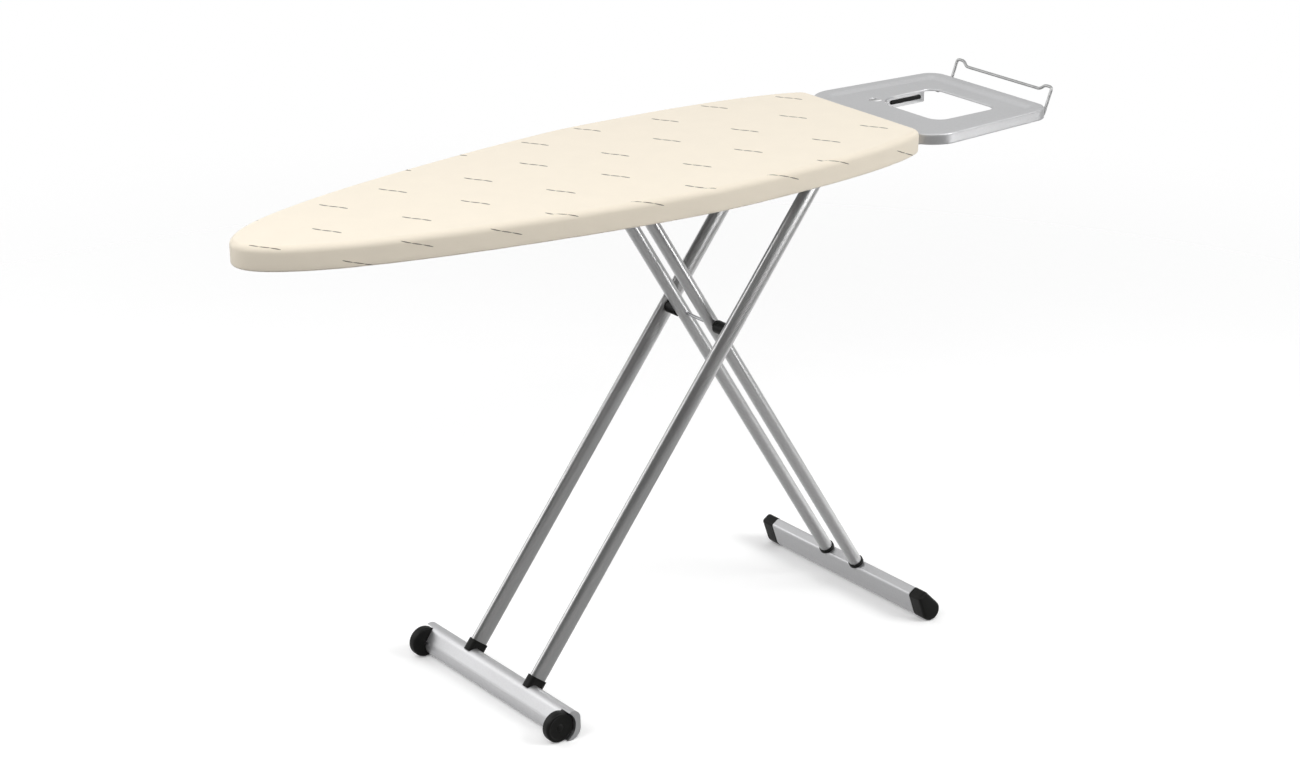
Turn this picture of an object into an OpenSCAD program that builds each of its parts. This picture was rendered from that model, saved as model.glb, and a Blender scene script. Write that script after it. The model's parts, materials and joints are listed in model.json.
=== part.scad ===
// Folding ironing board: padded board on crossed tube legs, with an iron rest and a wire stop rail.
// The frame's origin is on the floor under the middle of the whole object. +X points to the iron
// rest, -Y to the front side and +Z up.

/* [Board] */
// Length of the padded board
board_l = 1250; // [1200:5:1300]
// Width of the board at its widest place
board_w = 442; // [420:2:460]
// Height of the padded top above the floor
top_z = 900; // [880:5:920]
// Height of the cover's skirt, from the top down to its hem
skirt_h = 42; // [38:1:46]
// Thickness of the felt pad
pad_t = 8; // [6:0.5:10]

/* [Iron rest] */
// Length of the iron rest beyond the board's end
rest_l = 307; // [290:1:320]
// Width of the rest where it meets the board
rest_w = 352; // [340:2:360]
// Width of the rest at its outer end
rest_end_w = 310; // [296:2:320]
// How far the rest's rim lies below the padded top
rest_drop = 13; // [11:1:16]
// Depth of the rest's outer skirt
rest_skirt = 20; // [18:1:24]
// Diameter of the stop rail's wire
wire_d = 5.5; // [4:0.5:6]

/* [Legs] */
// Distance from the middle of the frame to the leg crossing, along X
cross_x = 96.4; // [90:0.2:100]
// Height of the leg crossing
cross_z = 588.6; // [580:0.2:596]
// Slope of the wide outer leg frame
outer_slope = 52.57; // [52:0.01:53]
// Slope of the narrow inner leg frame
inner_slope = 57.67; // [57:0.01:58.5]
// Height of the two upper leg pivots
hinge_z = 862; // [858:1:864]
// Distance between the outer tubes' middles
outer_gap = 177; // [170:1:184]
// Distance between the inner tubes' middles
inner_gap = 83; // [78:1:88]
// Outer tube's long side
outer_a = 35; // [32:0.5:38]
// Outer tube's short side
outer_b = 15; // [13:0.5:16]
// Inner tube's diameter
inner_d = 23.5; // [21:0.5:25]
// Wall of every leg tube
tube_wall = 1.3; // [1:0.1:2]

/* [Feet] */
// Length of the foot with wheels
nose_foot_l = 430; // [420:2:440]
// Length of the silver tube of the foot under the iron rest
rest_foot_l = 388; // [380:2:400]
// Length of each black end cap beyond the tube
cap_l = 31; // [25:1:34]
// Wheel radius
wheel_r = 26.5; // [24:0.5:26.5]
// Wheel width
wheel_w = 17; // [14:0.5:17]

/* [Hidden] */
$fn = 48;
eps = 0.5;
run = 0.05;                 // radial running clearance of a pin in its bore

// Colours
cream = [0.94, 0.90, 0.82];
felt_grey = [0.78, 0.76, 0.72];
silver = [0.76, 0.77, 0.78];
steel = [0.62, 0.63, 0.65];
black = [0.08, 0.08, 0.08];

// Board levels and ends
nose_x = cross_x - 891.4;
end_x = nose_x + board_l;
cloth_t = 1.2;
panel_t = 1;
pad_z = top_z - cloth_t - pad_t;
under_z = pad_z - panel_t;
hem_z = top_z - skirt_h;
hem_w = 20;
hem_t = 1.5;
rim_h = 27;
rim_t = 1.6;
pan_inset = 2;              // the pan's edge lies this far inside the cover's outline
edge_n = 24;                // points on each curve of the outline

// Upper pivots and leg directions
hinge_x = cross_x + (hinge_z - cross_z) / tan(outer_slope);
bar_x = cross_x - (hinge_z - cross_z) / tan(inner_slope);
outer_y = outer_gap / 2;
inner_y = inner_gap / 2;
outer_tilt = 90 - outer_slope;
inner_tilt = inner_slope - 90;

// Foot sections
nose_low_r = 20.5;
nose_top_r = 15.5;
nose_rise = 16.5;
nose_lean = 4.5;
nose_foot_x = cross_x - 427.5;
foot_wall = 2;
collar_z = 52.2;            // height at which the outer tubes enter the foot
foot_low_r = 18.4;
foot_top_r = 5;
foot_rise = 37;
foot_flat = 5.4;
cap_grow = 0.6;             // the caps stand this far proud of their tube
foot_z = foot_low_r + cap_grow;
foot_x = cross_x + (cross_z - foot_z) / tan(inner_slope);

// Wheels
wheel_x = cross_x - 445.2;
wheel_z = wheel_r + 0.5;
wheel_gap = 1.8;
wheel_face = nose_foot_l / 2 - 3.5;
axle_r = 3;

// Slide channel and latch
bar_r = 6;
glide_r = 7.5;
travel_x = -362;            // the slide bar's place when the legs are folded
channel_in = 57;
channel_out = 74;
channel_t = 1.5;
channel_gap = 0.6;          // space under the glides
channel_rise = 5;           // space over them, for the bar's small rise as the legs fold
channel_x0 = travel_x - 20;
channel_x1 = -56;
comb_x0 = -400;
comb_x1 = -32;
comb_tip_z = hinge_z + 11.3;
comb_top_z = hinge_z + 21.5;
comb_pin_z = hinge_z + 17;
comb_t = 3;
lever_x = -38;
lever_w = 16;
lever_t = 4;
lever_z = comb_tip_z - 0.6;
lever_pivot_y = 70;
lever_pivot_z = lever_z + 1;
lever_eye_r = 5;
lever_step_y = -107;
lever_low_z = hinge_z - 10;
grip_y = -179;
grip_l = 39;
grip_r = 6;
grip_half = 14;             // from the grip's middle to the middles of its round sides
grip_end = 2;               // plastic over the end of the lever
pin_r = 2.5;
spring_y = 30;
spring_r = 4.4;
spring_wire = 1.2;
spring_turns = 5;
spring_gap = 0.2;

// Hinge parts
rod_r = 4;
bracket_y = 100;
bracket_t = 3;
bracket_r = 14;
bracket_foot = 10;          // how far the flange reaches past the plate at each side
rod_end = bracket_y + bracket_t + 7;
rod_cap_r = 8;
rod_cap_t = 2;

// Iron rest
rest_x0 = end_x + 1;
rest_x1 = rest_x0 + rest_l;
rest_z = top_z - rest_drop;
rest_t = 1.5;
dish = 6;
dish_z = rest_z - dish;
dish_in = 26;
well_x0 = rest_x0 + 100;
well_x1 = rest_x1 - 64;
well_y = 85;
cord_hole_r = 12;
cord_hole_x = well_x0 + 5;
cord_hole_y = well_y + 1;
arm_y = 130;
arm_r = 7;
arm_wall = 1.3;
arm_gap = 1.5;              // space round an arm where it passes through a wall
arm_slot_l = 7.5;           // the slots run in far enough to clear the rest's round corners
arm_z = dish_z - rest_t - 3 - arm_r;
arm_x0 = 240;
arm_x1 = rest_x1 - 65;
flange_x0 = well_x0 + 30;
flange_x1 = well_x1 - 22;
flange_drop = 23;

// Stop rail
rail_y = 124;
rail_low_z = arm_z - 8;
rail_top_z = rest_z + 24;
rail_bar_z = rest_z + 16;
rail_lean = 0.39;           // outward run for each unit of rise
rail_tail = 41;             // length of each end under the rest
hump_w = 18;                // flat top of each hump
hump_foot = 27;             // where the hump meets the straight bar, in from the rail's side
rail_x = -nose_x - wire_d / 2 - (rail_top_z - rest_z) * rail_lean;

// Point at t on a cubic curve through p[0] and p[3]
function bezier(p, t) = pow(1 - t, 3) * p[0] + 3 * pow(1 - t, 2) * t * p[1]
    + 3 * (1 - t) * t * t * p[2] + pow(t, 3) * p[3];
function curve(p, n) = [for (i = [0 : n - 1]) bezier(p, i / n)];

// One side of the board's outline: rounded nose, widest place, then in to the rounded end corner
wide = board_w / 2;
wide_x = 0.61 * board_l;
corner = 16;
function side() = concat(
    curve([[0, 0], [0, 143.5], [0.565 * board_l, wide], [wide_x, wide]], edge_n),
    curve([[wide_x, wide], [0.8 * board_l, wide], [0.93 * board_l, 198], [board_l - corner, 163]],
        edge_n),
    curve([[board_l - corner, 163], [board_l - 5, 158], [board_l, 152], [board_l, 140]], 6),
    [[board_l, 140]]);
side_pts = side();
// The outline drawn in by a distance d on every side
function shrink(p, d) = [nose_x + d + p[0] * (board_l - 2 * d) / board_l, p[1] * (wide - d) / wide];
function outline(d) = concat([for (p = side_pts) shrink(p, d)],
    [for (i = [len(side_pts) - 1 : -1 : 1]) let (p = shrink(side_pts[i], d)) [p[0], -p[1]]]);

// Half width of the board at a distance from its nose
function half_at(x) = lookup(x, side_pts);

// Points of an arc
function arc(c, r, a0, a1, n) = [for (i = [0 : n]) let (a = a0 + (a1 - a0) * i / n)
    c + r * [cos(a), sin(a)]];
// Section with a round foot and a narrower round or flat top
function pear(low, top, rise, lean, flat) = let (
    aim = acos((low - top) / norm([flat + lean, rise])),
    aim_l = acos((low - top) / norm([lean - flat, rise])),
    right = atan2(rise, flat + lean) - aim,
    left = atan2(rise, lean - flat) + aim_l)
    concat(arc([lean + flat, rise], top, right, 90, 8), arc([lean - flat, rise], top, 90, left, 8),
        arc([0, 0], low, left, 360 + right, 24));

module slab(d, z, h) translate([0, 0, z]) linear_extrude(h) polygon(outline(d));

module stadium(a, b) {
    square([a - b, b], center = true);
    for (s = [-1, 1]) translate([s * (a - b) / 2, 0]) circle(d = b);
}

// Cylinder along Y between two y values
module y_rod(x, z, r, y0, y1) translate([x, y1, z]) rotate([90, 0, 0]) cylinder(r = r, h = y1 - y0);

// Cylinder along X between two x values
module x_rod(y, z, r, x0, x1) translate([x0, y, z]) rotate([0, 90, 0]) cylinder(r = r, h = x1 - x0);

// Block between two corners
module block(a, b) translate(a) cube(b - a);

// Both sides of the object
module both_sides() for (s = [0, 1]) mirror([0, s, 0]) children();

function unit(v) = v / norm(v);
// Corner at p between a and b, cut r short of p on both sides and rounded in n steps
function fillet(a, p, b, r, n) = let (s = p + r * unit(a - p), e = p + r * unit(b - p))
    [for (i = [0 : n]) let (t = i / n) (1 - t) * (1 - t) * s + 2 * t * (1 - t) * p + t * t * e];
function rounded(pts, r, n) = concat([pts[0]],
    [for (i = [1 : len(pts) - 2]) each fillet(pts[i - 1], pts[i], pts[i + 1], r, n)],
    [pts[len(pts) - 1]]);

// Round wire of diameter d along a path that never runs along the direction ref
module tube(path, d, sides, ref) {
    n = len(path);
    rings = [for (i = [0 : n - 1])
        let (t = unit(path[min(i + 1, n - 1)] - path[max(i - 1, 0)]), u = unit(cross(t, ref)),
            v = cross(u, t))
        for (k = [0 : sides - 1]) path[i] + d / 2 * (cos(k * 360 / sides) * u + sin(k * 360 / sides) * v)];
    walls = [for (i = [0 : n - 2]) for (k = [0 : sides - 1]) [i * sides + k, (i + 1) * sides + k,
        (i + 1) * sides + (k + 1) % sides, i * sides + (k + 1) % sides]];
    ends = [[for (k = [0 : sides - 1]) k], [for (k = [sides - 1 : -1 : 0]) (n - 1) * sides + k]];
    polyhedron(rings, concat(walls, ends));
}

// Frame of the outer or inner legs, with the crossing as origin and the leg along Z
module on_outer() translate([cross_x, 0, cross_z]) rotate([0, outer_tilt, 0]) children();
module on_inner() translate([cross_x, 0, cross_z]) rotate([0, inner_tilt, 0]) children();

// Distances along the legs, from the crossing
outer_up = (hinge_z - cross_z) / sin(outer_slope);
inner_up = (hinge_z - cross_z) / sin(inner_slope);
outer_down = (cross_z - collar_z) / sin(outer_slope);
inner_foot = (cross_z - foot_z) / sin(inner_slope);
inner_down = inner_foot - foot_rise - foot_top_r;
outer_sink = 30;            // how far each tube goes into its foot
collar_low = 14;            // its wide part stops here, inside the collar
neck = 10;                  // how much narrower it is from there on
inner_sink = 30;
leg_past = 10;              // how far each tube goes past its upper pivot
inner_past = 7;

// ---------------------------------------------------------------- board

// Open slots round the two arms, through a wall between two x values
module arm_notches(x0, x1) both_sides()
    block([x0, arm_y - arm_r - arm_gap, hem_z - eps],
        [x1, arm_y + arm_r + arm_gap, arm_z + arm_r + arm_gap]);

module cover() color(cream) difference() {
    slab(0, hem_z, skirt_h);
    slab(cloth_t, hem_z + hem_t, skirt_h - hem_t - cloth_t);
    slab(hem_w, hem_z - eps, hem_t + 2 * eps);
    arm_notches(end_x - hem_w - eps, end_x + eps);
}

module felt_pad() color(felt_grey) slab(pan_inset, pad_z, pad_t);

hole_pitch = 58;
hole_rows = 46;
hole_r = 13;
hole_margin = 24;
hole_columns = 20;
module board_panel() color(steel) difference() {
    slab(pan_inset, under_z, panel_t);
    for (i = [1 : hole_columns]) {
        x = i * hole_pitch;
        n = floor((half_at(x) - hole_margin) / hole_rows);
        for (k = [-n : n]) if (abs(k) > 0 || i % 2 == 0)
            translate([nose_x + x, k * hole_rows, under_z - eps])
                cylinder(r = hole_r, h = panel_t + 2 * eps, $fn = 6);
    }
}

module rim_band() color(steel) difference() {
    slab(pan_inset, under_z - rim_h, rim_h);
    slab(pan_inset + rim_t, under_z - rim_h - eps, rim_h + 2 * eps);
    arm_notches(end_x - pan_inset - rim_t - eps, end_x + eps);
}

module slide_channel() color(steel)
    translate([channel_x0, 0, 0]) rotate([90, 0, 90]) linear_extrude(channel_x1 - channel_x0) {
        low = hinge_z - glide_r - channel_gap;
        mid = hinge_z + glide_r + channel_rise;
        translate([channel_in, low - channel_t]) square([channel_out - channel_in, channel_t]);
        translate([channel_in, mid]) square([channel_out - channel_in, channel_t]);
        translate([channel_in, under_z - channel_t]) square([channel_out - channel_in, channel_t]);
        translate([channel_out - channel_t, low - channel_t])
            square([channel_t, under_z - low + channel_t]);
    }
module slide_channel_near() mirror([0, 1, 0]) slide_channel();
module slide_channel_far() slide_channel();

module hinge_bracket() color(steel) difference() {
    union() {
        block([hinge_x - bracket_r, bracket_y, hinge_z],
            [hinge_x + bracket_r, bracket_y + bracket_t, under_z]);
        y_rod(hinge_x, hinge_z, bracket_r, bracket_y, bracket_y + bracket_t);
        block([hinge_x - bracket_r - bracket_foot, bracket_y, under_z - bracket_t],
            [hinge_x + bracket_r + bracket_foot, bracket_y + 2 * bracket_foot, under_z]);
    }
    y_rod(hinge_x, hinge_z, rod_r, bracket_y - eps, bracket_y + bracket_t + eps);
}
module hinge_bracket_near() mirror([0, 1, 0]) hinge_bracket();
module hinge_bracket_far() hinge_bracket();

module hinge_rod() color(steel) y_rod(hinge_x, hinge_z, rod_r, -rod_end, rod_end);

module rod_caps() color(black) both_sides() difference() {
    y_rod(hinge_x, hinge_z, rod_cap_r, bracket_y + bracket_t, rod_end + rod_cap_t);
    y_rod(hinge_x, hinge_z, rod_r, bracket_y, rod_end);
}

// ---------------------------------------------------------------- iron rest

module rest_arm() color(silver) difference() {
    x_rod(arm_y, arm_z, arm_r, arm_x0, arm_x1);
    x_rod(arm_y, arm_z, arm_r - arm_wall, arm_x0 - eps, arm_x1 + eps);
}
module rest_arm_near() mirror([0, 1, 0]) rest_arm();
module rest_arm_far() rest_arm();

clamp_xs = [arm_x0 + 22, end_x - 45];
clamp_w = 20;
clamp_side = 3;
clamp_floor = 2;
module arm_clamps() color(steel) both_sides() for (x = clamp_xs) difference() {
    block([x - clamp_w / 2, arm_y - arm_r - clamp_side, arm_z - arm_r - clamp_floor],
        [x + clamp_w / 2, arm_y + arm_r + clamp_side, under_z]);
    x_rod(arm_y, arm_z, arm_r, x - clamp_w, x + clamp_w);
}

tray_bracket_xs = [rest_x0 + 50, arm_x1 - 30];
tray_bracket_l = 30;
tray_bracket_w = 16;
module tray_brackets() color(steel) both_sides() for (x = tray_bracket_xs) difference() {
    block([x - tray_bracket_l / 2, arm_y - tray_bracket_w / 2, arm_z + 2],
        [x + tray_bracket_l / 2, arm_y + tray_bracket_w / 2, dish_z - rest_t]);
    x_rod(arm_y, arm_z, arm_r, x - tray_bracket_l, x + tray_bracket_l);
}

// Four-cornered outline with round corners, drawn in by d; c is the corner radius
module rest_plan(d) {
    a = rest_w / 2 - d;
    b = rest_end_w / 2 - d;
    r = corner_r - d;
    q = board_corner_r - d;
    polygon(concat(
        arc([rest_x0 + d + q, a - q], q, 180, 92, 8),
        arc([rest_x1 - d - r, b - r], r, 86, 0, 8),
        arc([rest_x1 - d - r, r - b], r, 0, -86, 8),
        arc([rest_x0 + d + q, q - a], q, -92, -180, 8)));
}

well_r = 24;
well_hole_r = 50;           // the well's corner beside the cord hole is rounder
module well_plan() {
    r = well_r;
    polygon(concat(
        arc([well_x0 + well_hole_r, well_y - well_hole_r], well_hole_r, 180, 90, 10),
        arc([well_x1 - r, well_y - r], r, 90, 0, 8),
        arc([well_x1 - r, r - well_y], r, 0, -90, 8),
        arc([well_x0 + r, r - well_y], r, -90, -180, 8)));
}

corner_r = 34;
board_corner_r = 60;        // the corners next to the board are wider
module iron_rest() color(silver) {
    difference() {
        translate([0, 0, rest_z - rest_skirt]) linear_extrude(rest_skirt) rest_plan(0);
        translate([0, 0, rest_z - rest_skirt - eps])
            linear_extrude(dish_z - rest_t - rest_z + rest_skirt + eps)
            rest_plan(rest_t);
        translate([0, 0, rest_z - rest_skirt]) linear_extrude(rest_skirt - rest_t) difference() {
            rest_plan(rest_t);
            rest_plan(dish_in - rest_t);
        }
        translate([0, 0, dish_z]) linear_extrude(dish + eps) rest_plan(dish_in);
        translate([0, 0, dish_z - rest_skirt]) linear_extrude(2 * rest_skirt) well_plan();
        translate([cord_hole_x, cord_hole_y, dish_z - rest_skirt])
            cylinder(r = cord_hole_r, h = 2 * rest_skirt);
        arm_notches(rest_x0 - eps, rest_x0 + arm_slot_l);
    }
    block([flange_x0, well_y, dish_z - flange_drop], [flange_x1, well_y + rest_t, dish_z - rest_t]);
}

bumper_r = 4;
bumper_inset = 13;          // from the flange's ends to the middles of the bumper's round ends
bumper_z = dish_z - 12;
module rest_bumper() color(black)
    hull() for (x = [flange_x0 + bumper_inset, flange_x1 - bumper_inset])
        translate([x, well_y, bumper_z]) rotate([90, 0, 0])
            cylinder(r = bumper_r, h = bumper_r, $fn = 32);

function on_rail(y, z) = [rail_x + (z - rest_z) * rail_lean, y, z];
// Half of the stop rail, from the end under the rest to the straight bar in the middle
function rail_half(s) = [[rail_x - rail_tail, s * rail_y, rail_low_z], on_rail(s * rail_y, rail_low_z),
    on_rail(s * rail_y, rail_top_z), on_rail(s * (rail_y - hump_w), rail_top_z),
    on_rail(s * (rail_y - hump_foot), rail_bar_z)];
rail_path = concat(rail_half(1), [for (i = [4 : -1 : 0]) rail_half(-1)[i]]);
rail_ref = [-0.5, 0.6, -0.7];   // the wire never runs along this direction
bend_r = 6;
module wire_rail() color(silver) tube(rounded(rail_path, bend_r, 5), wire_d, 12, rail_ref);

socket_w = 14;
socket_l = 20;
socket_x0 = rest_x1 - dish_in + 2;
module rail_sockets() color(black) both_sides() difference() {
    block([socket_x0, rail_y - socket_w / 2, rail_low_z - wire_d],
        [socket_x0 + socket_l, rail_y + socket_w / 2, rest_z - rest_t]);
    x_rod(rail_y, rail_low_z, wire_d / 2, rail_x - rail_tail, rail_x);
}

// ---------------------------------------------------------------- latch

lug_out = 14;               // outer face of the lever's two lugs, from the lever's middle
lug_t = 3;
lug_r = 6;
module lever_bracket() color(steel) {
    for (s = [0, 1]) translate([lever_x, 0, 0]) mirror([s, 0, 0]) difference() {
        block([lug_out - lug_t, lever_pivot_y - lug_r, lever_z - lever_t],
            [lug_out, lever_pivot_y + lug_r, under_z]);
        x_rod(lever_pivot_y, lever_pivot_z, pin_r, 0, lug_out + eps);
    }
    block([lever_x - lug_out, lever_pivot_y - lug_r, under_z - 2],
        [lever_x + lug_out, lever_pivot_y + lug_r, under_z]);
}

module lever_pin() color(steel)
    x_rod(lever_pivot_y, lever_pivot_z, pin_r, lever_x - lug_out - 1.5, lever_x + lug_out + 1.5);

module release_lever() color(steel) {
    x0 = lever_x - lever_w / 2;
    x1 = lever_x + lever_w / 2;
    difference() {
        union() {
            x_rod(lever_pivot_y, lever_pivot_z, lever_eye_r, x0, x1);
            block([x0, lever_step_y, lever_z - lever_t], [x1, lever_pivot_y, lever_z]);
        }
        x_rod(lever_pivot_y, lever_pivot_z, pin_r + run, x0 - 1, x1 + 1);
    }
    block([x0, lever_step_y - lever_t, lever_low_z], [x1, lever_step_y, lever_z]);
    block([x0, grip_y + grip_end, lever_low_z], [x1, lever_step_y - lever_t, lever_low_z + lever_t]);
}

module lever_grip() color(black) difference() {
    hull() for (s = [-1, 1]) translate([lever_x + s * grip_half, grip_y, lever_low_z + lever_t / 2])
        rotate([-90, 0, 0]) cylinder(r = grip_r, h = grip_l, $fn = 32);
    block([lever_x - lever_w / 2, grip_y + grip_end, lever_low_z],
        [lever_x + lever_w / 2, grip_y + grip_l + eps, lever_low_z + lever_t]);
}

ear_out = 5;                // outer face of the comb's two ears
ear_t = 2;
ear_half = 8;
module comb_bracket() color(steel) {
    both_sides() difference() {
        block([comb_x0 - ear_half, ear_out - ear_t, comb_pin_z - 6],
            [comb_x0 + ear_half, ear_out, under_z]);
        y_rod(comb_x0, comb_pin_z, pin_r, 0, ear_out + eps);
    }
    block([comb_x0 - ear_half, -ear_out, under_z - 1.5], [comb_x0 + ear_half, ear_out, under_z]);
}

module comb_pin() color(steel)
    y_rod(comb_x0, comb_pin_z, pin_r, -ear_out - ear_t, ear_out + ear_t);

comb_steps = 6;
comb_pitch = 26;
notch_w = 14;
notch_h = 5;
comb_eye_r = 4.4;
module latch_comb() color(steel) difference() {
    union() {
        block([comb_x0, -comb_t / 2, comb_tip_z], [comb_x1, comb_t / 2, comb_top_z]);
        y_rod(comb_x0, comb_pin_z, comb_eye_r, -comb_t / 2, comb_t / 2);
    }
    y_rod(comb_x0, comb_pin_z, pin_r + run, -comb_t, comb_t);
    for (i = [0 : comb_steps - 1]) translate([bar_x - i * comb_pitch, 0, comb_tip_z])
        block([-notch_w / 2, -comb_t, -eps], [notch_w / 2, comb_t, notch_h]);
}

spring_steps = 14;          // rings in each turn of the coil
module lever_spring() color(steel) {
    z0 = lever_z + spring_wire / 2 + spring_gap;
    z1 = under_z - spring_wire / 2 - spring_gap;
    steps = spring_steps * spring_turns;
    tube([for (i = [0 : steps]) let (a = i * 360 / spring_steps) [lever_x + spring_r * cos(a),
        spring_y + spring_r * sin(a), z0 + (z1 - z0) * i / steps]], spring_wire, 8, [0, 0, 1]);
}

// ---------------------------------------------------------------- outer legs

// The far outer leg's section, a by b, which is necked where it goes into the foot
module outer_tube(a, b, past) {
    translate([0, outer_y, past - outer_down - collar_low])
        linear_extrude(outer_down + collar_low + outer_up + leg_past) stadium(a, b);
    translate([0, outer_y, -outer_down - outer_sink - past])
        linear_extrude(outer_sink + 2 * past) stadium(a - neck, b);
}
module outer_leg() color(silver) on_outer() difference() {
    outer_tube(outer_a, outer_b, 0);
    outer_tube(outer_a - 2 * tube_wall, outer_b - 2 * tube_wall, tube_wall);
    y_rod(0, outer_up, rod_r + run, outer_y - outer_b, outer_y + outer_b);
    y_rod(0, 0, pivot_r, 0, outer_y);
}
module outer_leg_near() mirror([0, 1, 0]) outer_leg();
module outer_leg_far() outer_leg();

outer_face = outer_y - outer_b / 2;
crossbar_r = 9;
module outer_crossbar() color(silver) difference() {
    y_rod(hinge_x, hinge_z, crossbar_r, -outer_face, outer_face);
    y_rod(hinge_x, hinge_z, rod_r + run, -outer_face - eps, outer_face + eps);
}

module nose_section(d) polygon(pear(nose_low_r - d, nose_top_r - d, nose_rise, nose_lean, 0));
module nose_solid() translate([nose_foot_x, 0, nose_low_r]) rotate([90, 0, 0])
    linear_extrude(nose_foot_l, center = true) nose_section(0);

foot_block = wheel_face - wheel_w - 8.5;   // the foot is solid from here to its ends
module nose_foot() color(silver) difference() {
    nose_solid();
    translate([nose_foot_x, 0, nose_low_r]) rotate([90, 0, 0])
        linear_extrude(2 * foot_block, center = true) nose_section(foot_wall);
    both_sides() y_rod(wheel_x, wheel_z, wheel_r + wheel_gap, wheel_face - wheel_w - 0.8, nose_foot_l);
    both_sides() y_rod(wheel_x, wheel_z, axle_r, foot_block - 1, wheel_face);
    on_outer() both_sides() outer_tube(outer_a, outer_b, 0);
}

collar_wall = 2;
collar_up = 8;              // above the point where the tube enters the foot
module outer_collars() color(black) difference() {
    on_outer() both_sides() translate([0, outer_y, -outer_down - collar_low])
        linear_extrude(collar_low + collar_up) difference() {
            stadium(outer_a + 2 * collar_wall, outer_b + 2 * collar_wall);
            stadium(outer_a, outer_b);
        }
    nose_solid();
}

pivot_r = 2.8;
module pivot_rod() color(steel) y_rod(cross_x, cross_z, pivot_r, -outer_y + 2, outer_y - 2);

spacer_r = 11.5;
spacer_gap = 0.4;
module pivot_spacers() color(black) both_sides() difference() {
    y_rod(cross_x, cross_z, spacer_r, inner_y + inner_d / 2 + spacer_gap, outer_face);
    y_rod(cross_x, cross_z, pivot_r, 0, outer_face + 1);
}

module wheel_axles() color(steel) both_sides()
    y_rod(wheel_x, wheel_z, axle_r, foot_block - 1, wheel_face - hub_t - 1);

// Wheel with softened rims and a closed outer face, turned about its axle
hub_t = 4;
module wheel() color(black) translate([wheel_x, wheel_face, wheel_z]) rotate([90, 0, 0])
    rotate_extrude($fn = 64) polygon([[axle_r + run, wheel_w], [wheel_r - 2, wheel_w],
        [wheel_r, wheel_w - 2], [wheel_r, 3], [wheel_r - 1, 1], [wheel_r - 3, 0],
        [0, 0], [0, hub_t], [axle_r + run, hub_t]]);
module wheel_near() mirror([0, 1, 0]) wheel();
module wheel_far() wheel();

// ---------------------------------------------------------------- inner legs

module inner_leg() color(silver) on_inner() difference() {
    translate([0, inner_y, -inner_down - inner_sink])
        cylinder(d = inner_d, h = inner_down + inner_sink + inner_up + inner_past);
    translate([0, inner_y, -inner_down - inner_sink - eps])
        cylinder(d = inner_d - 2 * tube_wall, h = inner_down + inner_sink + inner_up + inner_past + 2 * eps);
    y_rod(0, inner_up, bar_r, inner_y - inner_d, inner_y + inner_d);
    y_rod(0, 0, pivot_r + run, inner_y - inner_d, inner_y + inner_d);
}
module inner_leg_near() mirror([0, 1, 0]) inner_leg();
module inner_leg_far() inner_leg();

bar_end = channel_out - channel_t - 1;
module slide_bar() color(steel) y_rod(bar_x, hinge_z, bar_r, -bar_end, bar_end);

module bar_glides() color(black) both_sides() difference() {
    y_rod(bar_x, hinge_z, glide_r, channel_in - 1, bar_end);
    y_rod(bar_x, hinge_z, bar_r, 0, bar_end + 1);
}

// Leg-aligned frame at the middle of the rest-side foot
module on_foot() translate([foot_x, 0, foot_z]) rotate([0, inner_tilt, 0]) rotate([90, 0, 0]) children();
module foot_section(d) polygon(pear(foot_low_r - d, foot_top_r - d, foot_rise, 0, foot_flat));

module rest_foot() color(silver) difference() {
    on_foot() linear_extrude(rest_foot_l, center = true) foot_section(0);
    on_foot() linear_extrude(rest_foot_l + 2, center = true) foot_section(foot_wall);
    on_inner() both_sides() translate([0, inner_y, -inner_down - inner_sink])
        cylinder(d = inner_d, h = inner_sink + 30);
}

// End cap: a plug in the tube's end, with a block outside that steps down to a softer end face
cap_steps = [[0, 2.2, 1.5], [1.5, 0.6, 2.5], [4, -cap_grow, cap_l - 4]];
cap_plug = 20;
module foot_cap() color(black) on_foot() translate([0, 0, -rest_foot_l / 2 - cap_l]) {
    for (s = cap_steps) translate([0, 0, s[0]]) linear_extrude(s[2]) foot_section(s[1]);
    translate([0, 0, cap_l]) linear_extrude(cap_plug) foot_section(foot_wall);
}
module foot_cap_near() mirror([0, 1, 0]) foot_cap();
module foot_cap_far() foot_cap();

collar_rise = 6;
module inner_collars() color(black) on_inner() both_sides()
    translate([0, inner_y, -inner_down]) difference() {
        cylinder(d = inner_d + 2 * collar_wall, h = collar_rise);
        translate([0, 0, -eps]) cylinder(d = inner_d, h = collar_rise + 2 * eps);
    }

cover();
felt_pad();
board_panel();
rim_band();
slide_channel_near();
slide_channel_far();
hinge_bracket_near();
hinge_bracket_far();
hinge_rod();
rod_caps();
rest_arm_near();
rest_arm_far();
arm_clamps();
tray_brackets();
iron_rest();
rest_bumper();
wire_rail();
rail_sockets();
lever_bracket();
lever_pin();
comb_bracket();
comb_pin();
lever_spring();
latch_comb();
release_lever();
lever_grip();
outer_leg_near();
outer_leg_far();
outer_crossbar();
outer_collars();
nose_foot();
pivot_rod();
pivot_spacers();
wheel_axles();
wheel_near();
wheel_far();
inner_leg_near();
inner_leg_far();
slide_bar();
bar_glides();
inner_collars();
rest_foot();
foot_cap_near();
foot_cap_far();
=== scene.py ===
"""Looks of a folding ironing board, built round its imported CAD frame.

Everything is in metres in the row frame: +X points to the iron rest, +Z up, and the floor is z = 0.
"""
import json
import math

import bmesh
import bpy
import numpy as np
from mathutils import Matrix, Vector, noise


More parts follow.
